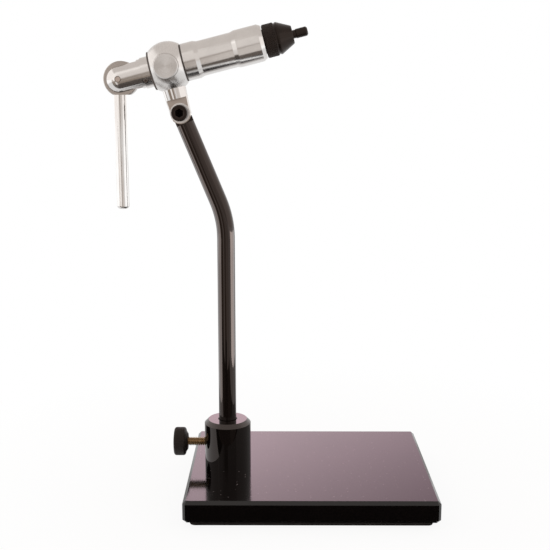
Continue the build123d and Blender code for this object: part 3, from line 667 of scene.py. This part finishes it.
class VISE_OT_pivot(Operator):
    """Finish the neck and make the pivot screw"""

    bl_idname = "vise.pivot"
    bl_label = "Neck and pivot"

    def execute(self, context):
        colours, sizes = context.scene.vise_colours, context.scene.vise_sizes
        neck_line = (BARREL_LINE[0], np.array([-BARREL_LINE[1][2], 0.0, BARREL_LINE[1][0]]))
        metal = turned_metal(
            "neck_metal", colours.aluminium, neck_line, roughness=0.07, cut_depth=POLISHED_CUTS)
        flat_depth = PIVOT_LINE[0][1] - 0.003
        # The flat keeps a real duller milled roughness; its darker colour is painted shade.
        shaded_duller_flat(metal, flat_depth, colours.shaded_neck_flat, roughness=0.36)
        dress(metal, "neck")
        bright = shade(colours.steel, 1.12)
        dress(turned_metal("washer_steel", bright, PIVOT_LINE, roughness=0.3), "pivot_washer")
        oxide = black_oxide("pivot_oxide", colours.oxide, PIVOT_LINE)
        add_piece(self.screw_mesh(sizes), "stem", "black_oxide", oxide, "pivot_screw")
        return {"FINISHED"}

    def screw_mesh(self, sizes):
        """Cap screw: shank, head with straight grooves, and a hexagon hole, where the radius at an angle
        is the flat's distance divided by the cosine of the angle from the flat's middle."""
        start, end = node_span("pivot_screw", PIVOT_LINE)
        seat, head, shank, flat = end - 0.005, 0.00425, 0.0025, 0.002
        floor, point = end - 0.0025, end - 0.0041
        chamfer, rim, groove_depth, margin, step = 0.0003, 0.0004, 0.00012, 0.0003, 0.0005
        opening, opening_depth, slack, points_per_groove = 1.3 * flat, 0.0002, 0.0001, 6
        drill_point = (point + slack, 2 * slack)
        outside = [
            (start, shank - chamfer), (start + chamfer, shank), (seat, shank), (seat, head),
            (end - rim, head), (end, head - rim), (end, opening),
        ]
        hole = [(end - opening_depth, flat), (floor, flat)]
        outer = fine_profile(outside, step)
        profile = np.concatenate([outer, fine_profile(hole, step), [drill_point]])
        hexagon = len(outer) + np.arange(len(profile) - len(outer) - 1)

        def radius_at(station, ring, angle):
            turn = np.mod(angle + pi / 6, pi / 3) - pi / 6
            grid = ring + 0 * angle
            grid[hexagon] = flat / np.cos(turn)
            side = (ring > head - slack) & (station > seat + margin) & (station < end - margin)
            return grid - side * groove_depth * wave(sizes.screw_grooves * angle / (2 * pi))

        rings = turned_rings(PIVOT_LINE, profile, sizes.screw_grooves * points_per_groove, radius_at)
        return skin("pivot_cap_screw", rings, line_points(PIVOT_LINE, start, point))


class VISE_OT_ball(Operator):
    """Finish the ball block, its drag screw and its washers"""

    bl_idname = "vise.ball"
    bl_label = "Ball and drag screw"

    def execute(self, context):
        colours = context.scene.vise_colours
        dress(turned_metal("ball_metal", colours.aluminium, BARREL_LINE, roughness=0.28), "ball_block")
        dress(self.faced_metal(shade(colours.aluminium, 0.92), colours.drag_rim_shade), "drag_knob")
        black = matte_moulding("washer_plastic", colours.washers, roughness=0.5, pebble_scale=4000)
        dress(black, "front_washer", "rear_washer")
        nylon = matte_moulding("plug_nylon", colours.nylon, roughness=0.5, pebble_scale=3000)
        dress(nylon, "drag_plug")
        return {"FINISHED"}

    def faced_metal(self, colour, rim):
        """A faced disc: rings about the drag screw, stretched highlights that fan out from its middle."""
        material = turned_metal("drag_metal", colour, DRAG_LINE, roughness=0.3, cut_depth=1.5 * TURNED_CUTS)
        # The darker colour beyond this radius is painted shade at the disc's outer edge.
        shaded_rim(material, DRAG_LINE, rim, radius=0.0062, roughness=0.3)
        tree = material.node_tree
        shader = tree.nodes["Principled BSDF"]
        shader.inputs["Anisotropic"].default_value = 0.75
        tangent = add_node(tree, "ShaderNodeTangent", direction_type="RADIAL", axis="Y")
        tree.links.new(tangent.outputs["Tangent"], shader.inputs["Tangent"])
        return material


class VISE_OT_barrel(Operator):
    """Finish the barrel, the rear housing and what runs inside them"""

    bl_idname = "vise.barrel"
    bl_label = "Barrel and housing"

    def execute(self, context):
        colours = context.scene.vise_colours
        for name, node in (("barrel_metal", "front_barrel"), ("housing_metal", "rear_housing")):
            dress(turned_metal(name, colours.aluminium, BARREL_LINE, roughness=0.16), node)
        steel = turned_metal("inner_steel", colours.steel, BARREL_LINE, roughness=0.22)
        dress(steel, "spindle", "push_rod", "return_spring")
        screw_line = self.screw_line()
        screw = turned_metal("set_screw_steel", colours.set_screw, screw_line, roughness=0.5)
        # The near-black rim is painted shade in the hole round the set screw.
        shaded_rim(screw, screw_line, colours.set_screw_rim_shade, radius=0.00112, roughness=0.5)
        dress(screw, "set_screw")
        return {"FINISHED"}

    def screw_line(self):
        """The set screw's line: through its middle, square to the barrel's line."""
        middle = node_points("set_screw").mean(axis=0)
        offset = middle - BARREL_LINE[0]
        outward = offset - BARREL_LINE[1] * (offset @ BARREL_LINE[1])
        return middle, outward / np.linalg.norm(outward)


class VISE_OT_lever(Operator):
    """Polish the cam, its pin and the lever"""

    bl_idname = "vise.lever"
    bl_label = "Cam and lever"

    def execute(self, context):
        colours = context.scene.vise_colours
        dress(turned_metal("cam_steel", colours.cam, CAM_LINE, roughness=0.3), "cam")
        rough_cuts = 1.25 * TURNED_CUTS
        pin = turned_metal("pin_steel", colours.pin, CAM_LINE, roughness=0.35, cut_depth=rough_cuts)
        # The darker ring is painted shade where the pin sits in its hole.
        shaded_rim(pin, CAM_LINE, colours.pin_rim_shade, radius=0.00125, roughness=0.4)
        dress(pin, "cam_pin")
        line = (CAM_LINE[0], UP)
        polished = turned_metal("lever_steel", colours.steel, line, roughness=0.1, cut_depth=POLISHED_CUTS)
        dress(polished, "lever")
        return {"FINISHED"}


class VISE_OT_nose(Operator):
    """Knurl the nose cap and blacken the collet"""

    bl_idname = "vise.nose"
    bl_label = "Nose cap and collet"

    def execute(self, context):
        colours, sizes = context.scene.vise_colours, context.scene.vise_sizes
        oxide = black_oxide("nose_oxide", colours.oxide, BARREL_LINE)
        add_piece(self.cap_mesh(sizes), "nose_cap", "black_oxide", oxide, "nose_cap")
        dress(black_oxide("collet_oxide", colours.oxide, BARREL_LINE), "collet")
        return {"FINISHED"}

    def cap_mesh(self, sizes):
        """Nose cap: threaded tail, knurled grip, groove, land and cone, and the bore back through it.
        On the grip the radius falls by depth * (1 - the smaller of two triangle waves), whose turns are
        count * share of a turn plus and minus station / pitch, which leaves diamonds standing. The waves
        are raised and cut off at 1, which gives the diamonds flat tops."""
        tail, tip = node_span("nose_cap", BARREL_LINE)
        tail_length, grip_length, groove_length, land_length = 0.012, 0.0064, 0.0005, 0.0009
        grip = tail + tail_length
        grip_end = grip + grip_length
        groove = grip_end + groove_length
        land = groove + land_length
        bore, thread, outer, neck, front, mouth = 0.00455, 0.0063, 0.00855, 0.0079, 0.00825, 0.0027
        tip_radius, bevel, edge, flat_top = 0.00468, 0.0006, 0.0002, 1.6
        outside = [
            (tail, bore), (tail, thread), (grip, thread), (grip, outer - bevel), (grip + bevel, outer),
            (grip_end - bevel, outer), (grip_end, outer - bevel), (grip_end, neck), (groove, neck),
            (groove, front - edge), (groove + edge, front), (land, front), (tip - edge, tip_radius),
            (tip, tip_radius - edge), (tip, mouth),
        ]
        mouth_length, inner_cone = 0.0047, 0.007
        inside = [(tip - mouth_length, mouth), (tip - mouth_length - inner_cone, bore)]
        plain_step, grip_step, points_per_diamond = 0.0006, 0.00013, 8
        profile = np.concatenate([
            fine_profile(outside[:4], plain_step)[:-1], fine_profile(outside[3:7], grip_step)[:-1],
            fine_profile(outside[6:] + inside, plain_step),
        ])

        def radius_at(station, ring, angle):
            share = sizes.knurl_count * angle / (2 * pi)
            rise = (station - grip) / sizes.knurl_pitch
            diamond = np.minimum(wave(share + rise), wave(share - rise))
            on_grip = np.clip((ring - outer + bevel) / bevel, 0, 1)
            on_grip = on_grip * (station > grip) * (station < grip_end)
            return ring - on_grip * sizes.knurl_depth * (1 - np.clip(flat_top * diamond, 0, 1))

        rings = turned_rings(BARREL_LINE, profile, sizes.knurl_count * points_per_diamond, radius_at)
        return skin("nose_cap_knurled", rings, closed=True)


# Stage

def level_corners(x, y, z):
    """Corners of a level sheet that spans two ranges at a height."""
    return [(x[0], y[0], z), (x[1], y[0], z), (x[1], y[1], z), (x[0], y[1], z)]


def upright_corners(x, y, z):
    """Corners of an upright sheet that spans a range and two heights, at one distance."""
    return [(x[0], y, z[0]), (x[1], y, z[0]), (x[1], y, z[1]), (x[0], y, z[1])]


def tapered_corners(near, near_x, far, far_x, z):
    """Corners of a level sheet whose width changes from its far edge to its near edge."""
    return [(far_x[0], far, z), (far_x[1], far, z), (near_x[1], near, z), (near_x[0], near, z)]


class VISE_OT_stage(Operator):
    """Lay the floor, set the lamps and place the camera"""

    bl_idname = "vise.stage"
    bl_label = "Stage"

    def execute(self, context):
        stage = context.scene.vise_stage
        self.floor()
        self.mirrored_room(stage)
        self.side_boards(stage)
        self.mirrored_camera(stage)
        self.backdrop_glow(stage)
        self.room(context.scene, stage)
        side_size = (1.6, 1.0)
        for name, place, target, size, brightness in (
            ("left_softbox", (-0.78, -0.05, 0.5), (0, -0.05, 0.5), side_size, stage.side_light),
            ("right_softbox", (0.78, -0.05, 0.5), (0, -0.05, 0.5), side_size, stage.side_light),
            ("front_softbox", (0, -0.96, 0.68), (0, 0, 0.23), (1.8, 0.8), stage.front_light),
            ("back_softbox", (0, 1.3, 0.34), (0, 0, 0.1), (2.4, 0.5), stage.back_light),
        ):
            self.softbox(name, place, target, size, brightness)
        line = self.softbox(
            "line_light", (0.01, -0.03, 0.0165), (-0.05, 0, 0.235), (0.4, 0.03), stage.line_light)
        line.spread = radians(50)
        self.camera(context.scene, stage)
        context.scene.view_settings.view_transform = "Standard"
        return {"FINISHED"}

    def sheet(self, name, corners, finish):
        """One flat four-sided sheet of the stage."""
        mesh = bpy.data.meshes.new(name)
        mesh.from_pydata(corners, [], [(0, 1, 2, 3)])
        mesh.materials.append(finish)
        made = bpy.data.objects.new(name, mesh)
        bpy.context.scene.collection.objects.link(made)
        return made

    def floor(self):
        """A white floor: plain diffuse under the light, mixed towards white 1 where it is seen or mirrored,
        and wholly white at a distance."""
        values = {"Base Color": (0.9, 0.9, 0.9, 1), "Roughness": 0.9, "Specular IOR Level": 0.0}
        finish, tree, shader = new_finish("floor_white", values)
        camera_ray, mirrored = self.ray_kinds(tree)
        seen = calculate(tree, "MAXIMUM", camera_ray, mirrored)
        away = vector_step(tree, "LENGTH", object_place(tree))["Value"]
        fade = spread(tree, away, low=0.9, high=1.0, start=0.11, end=0.26)
        share = calculate(tree, "MULTIPLY", seen, fade)
        glow = add_node(tree, "ShaderNodeEmission", {"Color": (1, 1, 1, 1), "Strength": 1.0})
        sockets = {0: share, 1: shader.outputs["BSDF"], 2: glow.outputs["Emission"]}
        mix = add_node(tree, "ShaderNodeMixShader", sockets)
        tree.links.new(mix.outputs["Shader"], tree.nodes["Material Output"].inputs["Surface"])
        reach, level = 6.0, -0.0002
        self.sheet("floor", level_corners(x=(-reach, reach), y=(-reach, reach), z=level), finish)

    def ray_kinds(self, tree):
        """1 for a ray from the camera, and 1 for a mirrored or refracted ray."""
        path = add_node(tree, "ShaderNodeLightPath").outputs
        mirrored = calculate(tree, "MAXIMUM", path["Is Glossy Ray"], path["Is Transmission Ray"])
        return path["Is Camera Ray"], mirrored

    def card(self, name, corners, colour):
        """A sheet of even brightness that only mirrored surfaces show."""
        values = {"Base Color": (0, 0, 0, 1), "Specular IOR Level": 0.0, "Emission Color": (*colour, 1),
                  "Emission Strength": 1.0}
        self.mirrored_only(self.sheet(name, corners, new_finish(name, values)[0]))

    def board(self, name, corners, brightness, receivers):
        """A clear sheet that adds its light to the floor behind it, linked to the pieces that it lights."""
        finish, tree, shader = new_finish(name, {})
        tree.nodes.remove(shader)
        light = add_node(tree, "ShaderNodeEmission", {"Strength": brightness}).outputs["Emission"]
        clear = add_node(tree, "ShaderNodeBsdfTransparent").outputs["BSDF"]
        both = add_node(tree, "ShaderNodeAddShader", {0: light, 1: clear}).outputs["Shader"]
        tree.links.new(both, tree.nodes["Material Output"].inputs["Surface"])
        made = self.sheet(name, corners, finish)
        made.light_linking.receiver_collection = receivers
        self.mirrored_only(made)

    def mirrored_only(self, made):
        """Hide a sheet from everything but mirrored rays."""
        for ray in ("camera", "diffuse", "shadow", "transmission"):
            setattr(made, "visible_" + ray, False)

    def mirrored_room(self, stage):
        """What the polished pieces mirror: before them a dark table, darkest close by, a dim floor with
        bright ways across it and a panel at the left, and the shadows behind and under the base."""
        close, edge, rim, wall, level = -0.0535, -0.083, -0.236, -3.0, 0.001
        close_x, edge_x, rim_x, wall_x = (-0.09, 0.09), (-0.2, 0.12), (-0.5, 0.11), (-5.6, 1.7)
        table_x = (edge_x[0], close_x[1])
        near = tapered_corners(close, close_x, edge, edge_x, level)
        self.card("table_shade", near, shade(stage.table, 0.2))
        self.card("dark_table", tapered_corners(edge, table_x, rim, rim_x, level), stage.table)
        self.card("dim_floor", tapered_corners(rim, rim_x, wall, wall_x, level), stage.carpet)
        raised = 2 * level
        corner = level_corners(x=(-0.13, -0.02), y=(-0.33, edge), z=raised)
        self.card("table_corner", corner, shade(stage.table, 0.6))
        path = tapered_corners(rim, (-0.04, rim_x[1]), wall, (-0.2, wall_x[1]), raised)
        self.card("bright_way", path, stage.studio)
        aside = tapered_corners(rim, (-0.22, -0.14), wall, (-2.2, -1.1), raised)
        self.card("bright_way_aside", aside, (1.0, 0.96, 0.93))
        shadow = tapered_corners(-close, (-0.2, 0.2), 0.12, (-0.2, 0.2), level)
        self.card("shadow_behind", shadow, (0.5, 0.48, 0.47))
        under = level_corners(x=(-0.064, 0.064), y=(close, -close), z=0.0)
        self.card("shadow_under", under, (0.01, 0.01, 0.01))
        panel = [(-0.495, -1.0, 0.0), (-0.835, -0.76, 0.0), (-0.835, -0.76, 1.6), (-0.495, -1.0, 1.6)]
        self.card("left_panel", panel, (1.2, 1.15, 1.11))

    def side_boards(self, stage):
        """Low boards on either side, which rise outwards and shine on the stem and its socket only. Their
        rear halves are dimmer."""
        receivers = bpy.data.collections.new("board_receivers")
        for name in ("stem", "stem_socket"):
            receivers.objects.link(NODES[name])
        inner, outer, level, rise, side = 0.2, 0.85, 0.001, 0.08, 0.0
        rear, rear_share = (0.14, 0.64), 0.62
        for name, sign, front, brightness in (
            ("left_board", -1, (-0.07, -0.35), stage.boards[0]),
            ("right_board", 1, (-0.14, -0.53), stage.boards[1]),
        ):
            start, end = (sign * inner, side, level), (sign * outer, side, rise)
            ahead = [start, (sign * inner, front[0], level), (sign * outer, front[1], rise), end]
            self.board(name, ahead, brightness, receivers)
            back = [start, (sign * inner, rear[0], level), (sign * outer, rear[1], rise), end]
            self.board(name + "_back", back, rear_share * brightness, receivers)

    def mirrored_camera(self, stage):
        """The camera on its stand, as the metal mirrors it."""
        behind = -0.53
        stand = upright_corners(x=(-0.14, -0.075), y=behind, z=(0.0, 0.17))
        self.card("camera_stand", stand, stage.stand)
        body = upright_corners(x=(-0.19, -0.02), y=behind, z=(0.182, 0.232))
        self.card("camera_body", body, stage.stand)

    def backdrop_glow(self, stage):
        """The part of the backdrop that the base's top mirrors: a sheet whose light falls off to the right
        and upwards, as x plus 0.9 times z grows. A plain screen hides it from the pieces higher up."""
        name = "backdrop_glow"
        finish, tree, shader = new_finish(name, {"Base Color": (0, 0, 0, 1), "Specular IOR Level": 0.0})
        fall = vector_step(tree, "DOT_PRODUCT", object_place(tree), (1, 0, 0.9))["Value"]
        share = spread(tree, fall, 0.0, 1.0, start=0.35, end=0.84)
        colour = two_tone(tree, share, stage.glow_left, stage.glow_right, start=0.0, end=1.0)
        tree.links.new(colour, shader.inputs["Emission Color"])
        shader.inputs["Emission Strength"].default_value = stage.glow
        glowing = upright_corners(x=(-0.6, 0.7), y=1.25, z=(0.4, 0.68))
        self.mirrored_only(self.sheet(name, glowing, finish))
        screen = upright_corners(x=(-0.32, 0.29), y=0.5, z=(0.29, 0.43))
        self.card("plain_screen", screen, stage.studio)

    def room(self, scene, stage):
        """The world: a grey room, brighter low behind the stage, and plain white where it is seen."""
        scene.world = bpy.data.worlds.new("studio")
        scene.world.use_nodes = True
        tree = scene.world.node_tree
        tree.nodes.clear()
        way = add_node(tree, "ShaderNodeTexCoord").outputs["Generated"]
        parts = add_node(tree, "ShaderNodeSeparateXYZ", {"Vector": way}).outputs
        behind = spread(tree, parts["Y"], 0.0, 1.0, start=0.55, end=0.8)
        low = spread(tree, parts["Z"], 1.0, 0.0, start=0.38, end=0.52)
        low_behind = calculate(tree, "MULTIPLY", behind, low)
        camera_ray, mirrored = self.ray_kinds(tree)
        backdrop = calculate(tree, "MULTIPLY", mirrored, low_behind)
        white = calculate(tree, "MAXIMUM", camera_ray, backdrop)
        grey = add_node(tree, "ShaderNodeBackground", {"Color": (*stage.studio, 1), "Strength": 1.0})
        bright = add_node(tree, "ShaderNodeBackground", {"Color": (1, 1, 1, 1), "Strength": 1.0})
        sockets = {0: white, 1: grey.outputs["Background"], 2: bright.outputs["Background"]}
        mix = add_node(tree, "ShaderNodeMixShader", sockets)
        output = add_node(tree, "ShaderNodeOutputWorld")
        tree.links.new(mix.outputs["Shader"], output.inputs["Surface"])

    def softbox(self, name, place, target, size, brightness):
        """A flat lamp facing a point. Its power is the brightness of its face times pi times its area."""
        lamp = bpy.data.lights.new(name, "AREA")
        lamp.shape = "RECTANGLE"
        lamp.size, lamp.size_y = size
        lamp.energy = brightness * pi * size[0] * size[1]
        made = bpy.data.objects.new(name, lamp)
        made.location = place
        made.rotation_euler = (Vector(target) - Vector(place)).to_track_quat("-Z", "Y").to_euler()
        made.visible_camera = False
        bpy.context.scene.collection.objects.link(made)
        return lamp

    def camera(self, scene, stage):
        """The camera, turned from level by its pitch and yaw."""
        lens = bpy.data.cameras.new("camera")
        lens.lens = stage.lens
        lens.sensor_width = 36.0
        made = bpy.data.objects.new("camera", lens)
        made.location = stage.camera_place
        made.rotation_euler = Euler((pi / 2 - stage.camera_pitch, 0, stage.camera_yaw))
        scene.collection.objects.link(made)
        scene.camera = made


class VISE_PT_panel(Panel):
    """Lists the vise's pieces and settings"""

    bl_idname = "VISE_PT_panel"
    bl_label = "Fly tying vise"
    bl_space_type = "VIEW_3D"
    bl_region_type = "UI"
    bl_category = "Vise"

    def draw(self, context):
        for operator in STEPS:
            self.layout.operator(operator.bl_idname)
        for settings in ("vise_sizes", "vise_colours", "vise_stage"):
            group = getattr(context.scene, settings)
            box = self.layout.box()
            for name in group.__annotations__:
                box.prop(group, name)


STEPS = (
    VISE_OT_stage, VISE_OT_base, VISE_OT_stem, VISE_OT_thumbscrew, VISE_OT_pivot, VISE_OT_ball,
    VISE_OT_barrel, VISE_OT_lever, VISE_OT_nose,
)
CLASSES = (ViseSizes, ViseColours, ViseStage, *STEPS, VISE_PT_panel)


def register():
    for kind in CLASSES:
        bpy.utils.register_class(kind)
    bpy.types.Scene.vise_sizes = PointerProperty(type=ViseSizes)
    bpy.types.Scene.vise_colours = PointerProperty(type=ViseColours)
    bpy.types.Scene.vise_stage = PointerProperty(type=ViseStage)


def unregister():
    del bpy.types.Scene.vise_stage
    del bpy.types.Scene.vise_colours
    del bpy.types.Scene.vise_sizes
    for kind in reversed(CLASSES):
        bpy.utils.unregister_class(kind)


def main():
    register()
    bpy.ops.vise.stage()
    bpy.ops.vise.base()
    bpy.ops.vise.stem()
    bpy.ops.vise.thumbscrew()
    bpy.ops.vise.pivot()
    bpy.ops.vise.ball()
    bpy.ops.vise.barrel()
    bpy.ops.vise.lever()
    bpy.ops.vise.nose()


if __name__ == "__main__":
    main()
